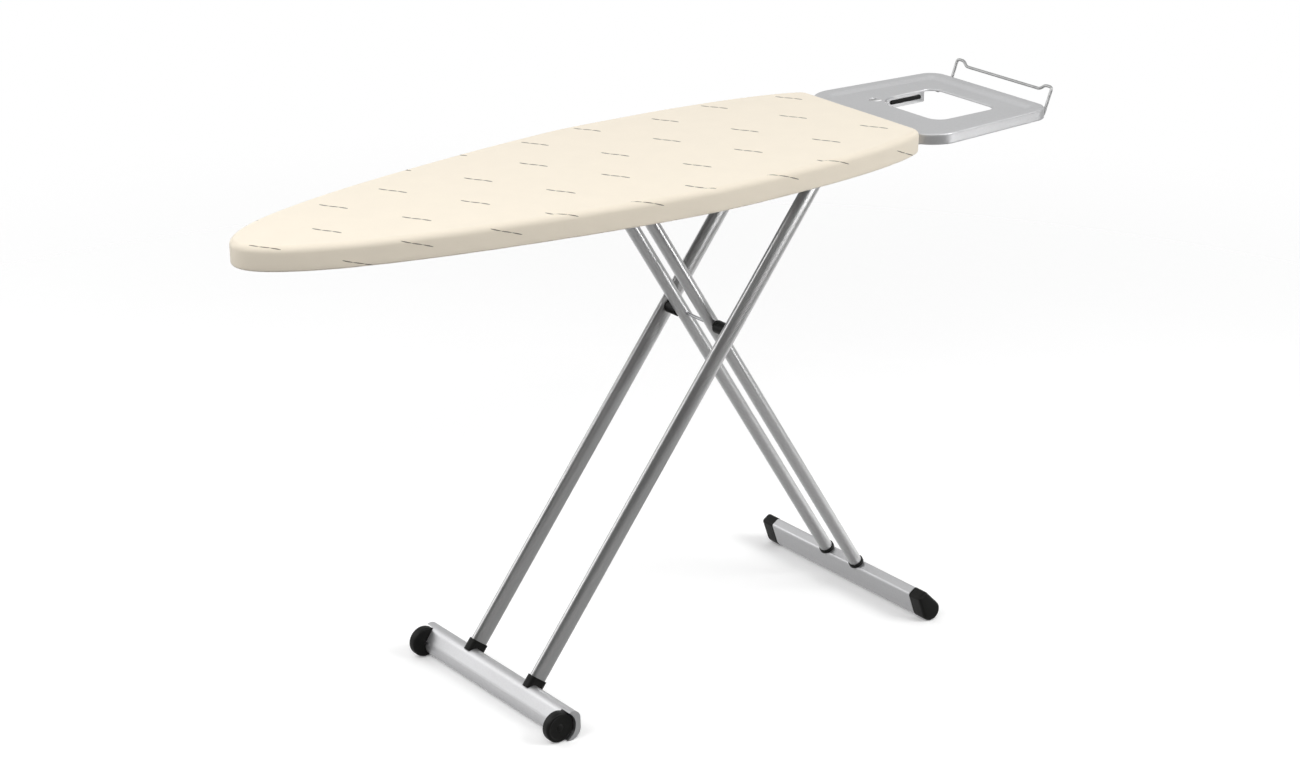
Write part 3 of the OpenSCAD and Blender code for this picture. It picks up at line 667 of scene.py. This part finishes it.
def make_iron_rest():
    """One pressed sheet: skirt, raised rim, shallow dish, lipped well, cord hole and flange."""
    rest = loft("iron_rest_pressing", rest_rings())
    modify(rest, "SOLIDIFY", thickness=SHEET_T, offset=-1)
    modify(rest, "SUBSURF", levels=1, render_levels=1)
    dish = rest_hi.z - DISH
    hole = ring_profile("hole_cut", (*HOLE, dish), [(0.02 * MM, -9 * MM), (HOLE_R + 1.3 * MM, -9 * MM),
                        (HOLE_R + 1.3 * MM, 9 * MM), (0.02 * MM, 9 * MM)], 64)
    cuts = [hole]
    arm_lo, arm_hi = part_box("rest_arm_far")
    for side in (-1, 1):
        y = sorted((side * (arm_lo.y - 1.5 * MM), side * (arm_hi.y + 1.5 * MM)))
        cuts.append(box_mesh("arm_slot", (rest_lo.x - 2 * MM, y[0], rest_hi.z - 30 * MM),
                             (rest_lo.x + 7.5 * MM, y[1], arm_hi.z + 1.5 * MM)))
    for cut in cuts:
        modify(rest, "BOOLEAN", operation="DIFFERENCE", solver="EXACT", object=cut)
        bpy.data.objects.remove(cut)
    eyelet = ring_profile("eyelet", (*HOLE, dish), [
        (HOLE_R + 1.45 * MM, 0.02 * MM), (HOLE_R + 0.8 * MM, -0.05 * MM), (HOLE_R + 0.25 * MM, -0.45 * MM),
        (HOLE_R, -1 * MM), (HOLE_R, -1.9 * MM), (HOLE_R + 1.1 * MM, -1.9 * MM),
        (HOLE_R + 1.45 * MM, -0.8 * MM)], 64)
    low, high = FLANGE_X
    drop = dish - FLANGE_DROP
    corner = 3 * MM
    flat = rounded([(low, drop), (high, drop), (high, dish - 2 * MM), (low, dish - 2 * MM)],
                   [corner, corner, 0.6 * MM, 0.6 * MM], 8, 6)
    front = np.column_stack([flat[:, 0], np.full(len(flat), WELL_HALF + 0.05 * MM), flat[:, 1]])
    back = front + [0, SHEET_T, 0]
    flange = loft("flange", [front, back], start=True, end=True)
    modify(flange, "BEVEL", width=0.4 * MM, segments=2, limit_method="ANGLE",
           angle_limit=math.radians(50))
    join(rest, eyelet, flange)
    smooth(rest, 32)
    return rest


def make_sockets():
    """Two moulded clips that hold the stop rail's ends under the rest's rim."""
    low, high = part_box("rail_sockets")
    clips = []
    for side in (-1, 1):
        y0, y1 = sorted((side * (high.y - 12.5 * MM), side * (high.y - 1.5 * MM)))
        z0, z1 = low.z + 1 * MM, high.z - 2.4 * MM
        section = rounded([(y0, z0), (y1, z0), (y1, z1), (y0, z1)], [2.5 * MM] * 4, 8, 4)
        middle = section.mean(0)
        rings = []
        for x, share in ((low.x + 3 * MM, 0.8), (low.x + 4 * MM, 1), (high.x - 1.5 * MM, 1),
                         (high.x - 0.4 * MM, 0.8)):
            flat = middle + (section - middle) * share
            rings.append(np.column_stack([np.full(len(flat), x), flat]))
        clips.append(loft("rail_clips", rings, start=True, end=True))
    join(*clips)
    smooth(clips[0], 40)
    return clips[0]


def make_bumper():
    """The black rubber strip on the flange: a domed bar with round ends."""
    radius = (bumper_hi.z - bumper_lo.z) / 2
    z = (bumper_hi.z + bumper_lo.z) / 2
    proud = WELL_HALF - bumper_lo.y
    rings = []
    for a in np.linspace(0, 0.96 * math.pi / 2, 8):
        r = radius * math.cos(a) ** 0.7
        ends = rounded([(bumper_lo.x + radius - r, z - r), (bumper_hi.x - radius + r, z - r),
                        (bumper_hi.x - radius + r, z + r), (bumper_lo.x + radius - r, z + r)],
                       [0.98 * r] * 4, 10, 6)
        rings.append(np.column_stack([ends[:, 0], np.full(len(ends), WELL_HALF - proud * math.sin(a)),
                                      ends[:, 1]]))
    back = rings[0] + [0, 0.3 * MM, 0]
    bumper = loft("flange_bumper", [back, *rings], start=True, end=True)
    smooth(bumper, 50)
    return bumper


def filleted(path, radius, count):
    """The path with its corners rounded by quadratic curves."""
    points = [np.array(path[0], float)]
    for before, corner, after in zip(path, path[1:], path[2:]):
        p, a, b = (np.array(v, float) for v in (corner, before, after))
        r = min(radius, np.linalg.norm(a - p) / 2, np.linalg.norm(b - p) / 2)
        start, end = (p + r * (v - p) / np.linalg.norm(v - p) for v in (a, b))
        for t in np.linspace(0, 1, count):
            points.append((1 - t) ** 2 * start + 2 * t * (1 - t) * p + t * t * end)
    return np.array([*points, np.array(path[-1], float)])


RAIL_R, RAIL_BEND_R = 2.75 * MM, 6.5 * MM
RAIL_LEAN = 0.39
RAIL_HUMP, RAIL_HUMP_END, RAIL_DIP = 18 * MM, 27 * MM, 8 * MM


def make_rail():
    """The wire stop rail, bent from one length, with a hump at each side."""
    side = rail_hi.y - RAIL_R
    low, top = rail_lo.z + RAIL_R, rail_hi.z - RAIL_R
    foot_x = rail_hi.x - RAIL_R

    def on_rail(y, z):
        return (foot_x - (top - z) * RAIL_LEAN, y, z)

    half = [(rail_lo.x, side, low), on_rail(side, low), on_rail(side, top),
            on_rail(side - RAIL_HUMP, top), on_rail(side - RAIL_HUMP_END, top - RAIL_DIP)]
    path = half + [(x, -y, z) for x, y, z in reversed(half)]
    bent = filleted(path, RAIL_BEND_R, 9)
    rail = sweep("stop_rail_wire", bent, circle(RAIL_R, 20), ref=(-0.5, 0.6, -0.7))
    smooth(rail, 50)
    return rail


# ---------------------------------------------------------------- feet and wheels

INNER_SLOPE, OUTER_SLOPE = 57.67, 52.57
OUTER_Y = 88.5 * MM
OUTER_DEPTH, OUTER_WIDTH = 35 * MM, 15 * MM
LEG_NECK_L = 16 * MM          # the part inside the nose foot, which is narrower
LEG_NECK_SHARE = 25 / 35
FOOT_LOW_R, FOOT_TOP_R, FOOT_RISE, FOOT_FLAT = 18.4 * MM, 5 * MM, 37 * MM, 5.4 * MM
CAP_GROW = 0.6 * MM           # how far a cap stands proud of its tube
CAP_END_R = 6 * MM
WHEEL_ROUND = 96


def foot_section(per_arc):
    """The rest-side foot's section in the leg's frame: round underneath, narrower and flat on top."""
    r, top, rise, flat = FOOT_LOW_R, FOOT_TOP_R, FOOT_RISE, FOOT_FLAT
    lean = math.acos((r - top) / math.hypot(flat, rise))
    right = math.atan2(rise, flat) - lean

    def arc(x, y, radius, a0, a1, count):
        return [(x + radius * math.cos(a), y + radius * math.sin(a)) for a in np.linspace(a0, a1, count)]

    up = math.pi / 2
    return np.array(arc(flat, rise, top, right, up, per_arc)
                    + arc(-flat, rise, top, up, math.pi - right, per_arc)
                    + arc(0, 0, r, math.pi - right, 2 * math.pi + right, 4 * per_arc)[1:-1])


def make_foot_cap(name, side):
    """A moulded end cap: a parting line where it meets the tube, a long wall and a softly rounded end."""
    section = resample(foot_section(10), 120)
    out = normals(section)
    tube_end = foot_hi.y
    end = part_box(f"foot_cap_{'far' if side > 0 else 'near'}")
    tip = max(abs(end[0].y), abs(end[1].y))
    steps = [(-1.5 * MM, tube_end - 3 * MM), (-1.5 * MM, tube_end + 0.6 * MM), (0.0, tube_end + 0.7 * MM),
             (CAP_GROW, tube_end + 1.4 * MM), (CAP_GROW, tube_end + 8 * MM), (CAP_GROW, tip - CAP_END_R)]
    steps += [(CAP_GROW - CAP_END_R * 0.72 * (1 - math.cos(a)), tip - CAP_END_R * (1 - math.sin(a)))
              for a in np.linspace(0, math.pi / 2, 8)[1:]]
    turn = Matrix.Rotation(math.radians(INNER_SLOPE - 90), 3, "Y")
    floor_gap = FOOT_LOW_R + CAP_GROW
    reach = (CROSSING.z - floor_gap) / math.tan(math.radians(INNER_SLOPE))
    origin = Vector((CROSSING.x + reach, 0, floor_gap))
    rings = []
    middle = section.mean(0)
    for grow, y in steps:
        rings.append([(section[i] + out[i] * grow, y) for i in range(len(section))])
    edge = [p for p, _ in rings[-1]]
    for share, dome in ((0.8, 0.25), (0.5, 0.4), (0.15, 0.45)):
        rings.append([(middle + (p - middle) * share, tip + dome * MM) for p in edge])
    solid = [[origin + turn @ Vector((p[0], side * y, p[1])) for p, y in ring] for ring in rings]
    cap = loft(name, [np.array(r) for r in solid], start=True, end=True)
    smooth(cap, 40)
    return cap


def make_wheel(name, side):
    """A moulded wheel: round tyre shoulders, a groove inside the rim, and a small boss in the middle."""
    lo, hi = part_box(name)
    radius = (hi.z - lo.z) / 2
    w = (hi.y - lo.y) / MM
    centre = Vector(((lo.x + hi.x) / 2, hi.y if side > 0 else lo.y, (lo.z + hi.z) / 2))
    r = radius / MM
    # Pairs of a radius and a depth behind the outer face, in mm
    face = [(0.05, 0.35), (4.5, 0.35), (5.6, 0.9), (6.4, 1.7), (13, 1.55), (19, 1.2), (20.4, 0.9),
            (21.4, 0.35), (r - 3.6, 0.12), (r - 1.9, 0.55), (r - 0.7, 1.7), (r, 3.4)]
    tread = [(r, 6), (r, w - 4), (r - 0.7, w - 1.6), (r - 2, w - 0.5), (r - 4, w), (5, w), (3.2, w)]
    inside = [(3.2, 5.0), (0.05, 5.0)]
    rings = []
    a = np.linspace(0, 2 * math.pi, WHEEL_ROUND, endpoint=False)
    for rad, depth in face + tread + inside:
        rings.append(np.stack([centre.x + rad * MM * np.cos(a),
                               np.full(WHEEL_ROUND, centre.y - side * depth * MM),
                               centre.z + rad * MM * np.sin(a)], axis=1))
    wheel = loft(f"{name}_moulding", rings, start=True, end=True)
    smooth(wheel, 40)
    return wheel


def make_oval_leg(name, side):
    """A flat-oval leg with crowned faces: it is as wide and deep as the frame's tube."""
    node = frame["nodes"][name]
    points = np.array([v.co for v in node.data.vertices])
    slope = math.radians(OUTER_SLOPE)
    way = np.array([math.cos(slope), 0, math.sin(slope)])
    across = np.array([-math.sin(slope), 0, math.cos(slope)])
    centre = np.array([CROSSING.x, side * OUTER_Y, CROSSING.z])
    along = (points - centre) @ way
    low, high = along.min(), along.max()
    a = np.linspace(0, 2 * math.pi, 64, endpoint=False)
    section = np.stack([OUTER_DEPTH / 2 * np.cos(a), OUTER_WIDTH / 2 * np.sin(a)], axis=1)
    rings = []
    stations = [low, low + LEG_NECK_L, low + LEG_NECK_L, *np.linspace(low + LEG_NECK_L, high, 9)[1:]]
    for k, t in enumerate(stations):
        size = [LEG_NECK_SHARE, 1] if k < 2 else [1, 1]
        flat = section * size
        rings.append(centre + way * t + flat[:, :1] * across + flat[:, 1:] * [0, 1, 0])
    leg = loft(f"{name}_tube", rings, start=True, end=True)
    smooth(leg, 40)
    return leg


# ---------------------------------------------------------------- lever spring

SPRING_WIRE_R = 0.6 * MM
SPRING_TURNS = 5
SPRING_TRAVEL = 2.7 * MM      # how much shorter it is when the lever is up


def make_spring():
    """The coil spring over the release lever, its fixed end and the share of its length it keeps."""
    low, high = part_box("lever_spring")
    radius = (high.x - low.x) / 2 - SPRING_WIRE_R
    turn = np.linspace(0, 2 * math.pi * SPRING_TURNS, 36 * SPRING_TURNS + 1)
    rise = np.linspace(low.z + SPRING_WIRE_R, high.z - SPRING_WIRE_R, len(turn))
    path = np.stack([(low.x + high.x) / 2 + radius * np.cos(turn),
                     (low.y + high.y) / 2 + radius * np.sin(turn), rise], axis=1)
    spring = sweep("lever_spring_coil", path, circle(SPRING_WIRE_R, 14))
    smooth(spring, 50)
    return spring, (0, 0, high.z), 1 - SPRING_TRAVEL / (high.z - low.z)


# ---------------------------------------------------------------- stage

FLOOR_R = 60
FLOOR_SEEN = (1.1, 3.4)       # metres from the middle between which the floor fades for the camera
FLOOR_LIT = (0.45, 1.5)       # the same for light that falls on the object
FLOOR_DIMMED = 0.7            # how much of the floor gloss doesn't show, except to the right
FLOOR_RIGHT_X, FLOOR_RIGHT_Y = (0.5, 0.8), (-0.7, -0.35)


def make_stage():
    """A wide pale floor, which fades out far from the object and is clear when seen from below.

    The tubes mirror it in full only to the right, which gives them their bright lower edge.
    """
    def choose(flag, this, other):
        return look.math("MULTIPLY_ADD", flag, look.math("SUBTRACT", this, other), other)

    def ramp(value, start, end):
        node = look.add("MapRange", value, start, end, 0.0, 1.0, interpolation_type="SMOOTHSTEP")
        return node.outputs[0]

    look = Look("pale_floor", Roughness=0.9, Specular_IOR_Level=0.1, Base_Color=(0.95, 0.95, 0.95, 1),
                Emission_Color=(1, 1, 1, 1), Emission_Strength=0.15)
    clear = look.add("BsdfTransparent").outputs[0]
    below = look.add("NewGeometry").outputs["Backfacing"]
    far = look.add("VectorMath", look.here(), operation="LENGTH").outputs["Value"]
    rays = look.add("LightPath").outputs
    seen, lit = ramp(far, *FLOOR_SEEN), ramp(far, *FLOOR_LIT)
    at = look.add("SeparateXYZ", look.here()).outputs
    right = look.math("MULTIPLY", ramp(at[0], *FLOOR_RIGHT_X), ramp(at[1], *FLOOR_RIGHT_Y))
    mirrored = look.math("MINIMUM", look.math("MAXIMUM", lit, FLOOR_DIMMED),
                         look.math("MAXIMUM", seen, look.math("SUBTRACT", 1.0, right)))
    faded = choose(rays["Is Camera Ray"], seen, choose(rays["Is Glossy Ray"], mirrored, lit))
    mixed = look.add("MixShader", look.math("MAXIMUM", below, faded), look.shader.outputs[0], clear)
    output = next(n for n in look.tree.nodes if n.type == "OUTPUT_MATERIAL")
    look.tree.links.new(mixed.outputs[0], output.inputs["Surface"])
    ring = lift(circle(FLOOR_R, 96), 0.0)
    floor = loft("floor", [ring * [0.1, 0.1, 1], ring], start=True)
    if floor.data.polygons[0].normal.z < 0:
        reshape(floor, lambda bm: bmesh.ops.reverse_faces(bm, faces=bm.faces))
    floor.location.z = -0.3 * MM
    floor.data.materials.append(look.material)


# Name, place, aim, size in metres and power in watts of each softbox
LIGHTS = (
    ("overhead", (0.4, 0.8, 3.4), (0, 0, 0.6), (4.0, 3.4), 10),
    ("left", (-2.6, -0.4, 2.5), (0, 0, 0.4), (2.5, 1.8), 34),
    ("behind", (-2.0, 3.2, 1.9), (0, 0, 0.3), (3.2, 2.4), 24),
    ("right", (1.9, -3.1, 2.9), (0.1, 0, 0.6), (2.4, 2.0), 84),
    ("front", (-2.0, -3.0, 3.4), (0, 0, 0.8), (1.8, 1.4), 31),
    ("low", (1.6, -1.45, 0.35), (0.67, -0.2, 0.9), (0.7, 0.5), 5.5),
)
FRONT = (-0.2, -0.8, -0.56)   # the way in which the room is darkest
ROOM_RAMP = (-0.35, 0.5)
ROOM_BACK, ROOM_FRONT = 0.62, 0.05


def make_light(name, place_at, aim, size, power):
    """A softbox that the camera doesn't see."""
    data = bpy.data.lights.new(name, "AREA")
    data.shape = "RECTANGLE"
    data.size, data.size_y = size
    data.energy = power
    lamp = bpy.data.objects.new(name, data)
    bpy.context.scene.collection.objects.link(lamp)
    lamp.location = place_at
    lamp.visible_camera = False
    lamp.rotation_mode = "QUATERNION"
    lamp.rotation_quaternion = (Vector(aim) - Vector(place_at)).to_track_quat("-Z", "Y")


def make_lights():
    """A soft studio: softboxes round the object, in a room that is dark towards the front."""
    world = bpy.data.worlds.new("studio")
    bpy.context.scene.world = world
    world.use_nodes = True
    nodes, links = world.node_tree.nodes, world.node_tree.links
    room = nodes["Background"]
    white = nodes.new("ShaderNodeBackground")
    seen = nodes.new("ShaderNodeLightPath")
    mixed = nodes.new("ShaderNodeMixShader")
    way = nodes.new("ShaderNodeTexCoord")
    towards = nodes.new("ShaderNodeVectorMath")
    towards.operation = "DOT_PRODUCT"
    towards.inputs[1].default_value = FRONT
    spread = nodes.new("ShaderNodeMapRange")
    for socket, value in zip(spread.inputs[1:], (*ROOM_RAMP, ROOM_BACK, ROOM_FRONT)):
        socket.default_value = value
    links.new(way.outputs["Generated"], towards.inputs[0])
    links.new(towards.outputs["Value"], spread.inputs[0])
    links.new(spread.outputs[0], room.inputs["Strength"])
    links.new(seen.outputs["Is Camera Ray"], mixed.inputs[0])
    links.new(room.outputs[0], mixed.inputs[1])
    links.new(white.outputs[0], mixed.inputs[2])
    links.new(mixed.outputs[0], nodes["World Output"].inputs["Surface"])
    for background in (room, white):
        background.inputs["Color"].default_value = (1, 1, 1, 1)
    for light in LIGHTS:
        make_light(*light)


CAMERA_AT = (-2.8814, -3.8410, 2.3076)
CAMERA_YAW, CAMERA_PITCH = 36.81, 20.85
CAMERA_LENS, CAMERA_SENSOR = 83.19, 36


def make_camera():
    """The camera at the photograph's place and angle."""
    data = bpy.data.cameras.new("camera")
    data.lens = CAMERA_LENS
    data.sensor_width = CAMERA_SENSOR
    camera = bpy.data.objects.new("camera", data)
    bpy.context.scene.collection.objects.link(camera)
    yaw, pitch = math.radians(CAMERA_YAW), math.radians(CAMERA_PITCH)
    ahead = Vector((math.sin(yaw) * math.cos(pitch), math.cos(yaw) * math.cos(pitch), -math.sin(pitch)))
    camera.location = CAMERA_AT
    camera.rotation_mode = "QUATERNION"
    camera.rotation_quaternion = ahead.to_track_quat("-Z", "Y")
    bpy.context.scene.camera = camera


# ---------------------------------------------------------------- the object

make_camera()
make_lights()
make_stage()
bpy.context.scene.view_settings.view_transform = "Standard"
dress_nodes()

cover, hem_edge, cover_flat, cover_area = make_cover()
binding = make_binding(hem_edge)
pad = make_pad()
place(cover, "board", "cover_cotton", "cover")
place(binding, "board", "cover_cotton", material=PLAIN_COTTON)
place(pad, "board", "felt", "felt_pad")
place(make_iron_rest(), "board", "tray_silver", "iron_rest")
place(make_sockets(), "board", "black_plastic", "rail_sockets")
place(make_bumper(), "board", "black_rubber", "rest_bumper")
place(make_rail(), "board", "wire_grey", "wire_rail")
for end, way in (("near", -1), ("far", 1)):
    place(make_foot_cap(f"foot_cap_{end}_moulding", way), "inner_legs", "black_plastic",
          f"foot_cap_{end}")
    place(make_wheel(f"wheel_{end}", way), f"wheel_{end}", "black_plastic", f"wheel_{end}")
    place(make_oval_leg(f"outer_leg_{end}", way), "outer_legs", "tube_silver", f"outer_leg_{end}")

spring, spring_top, spring_keep = make_spring()
place(spring, "board", "bare_steel", "lever_spring")
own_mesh(spring)
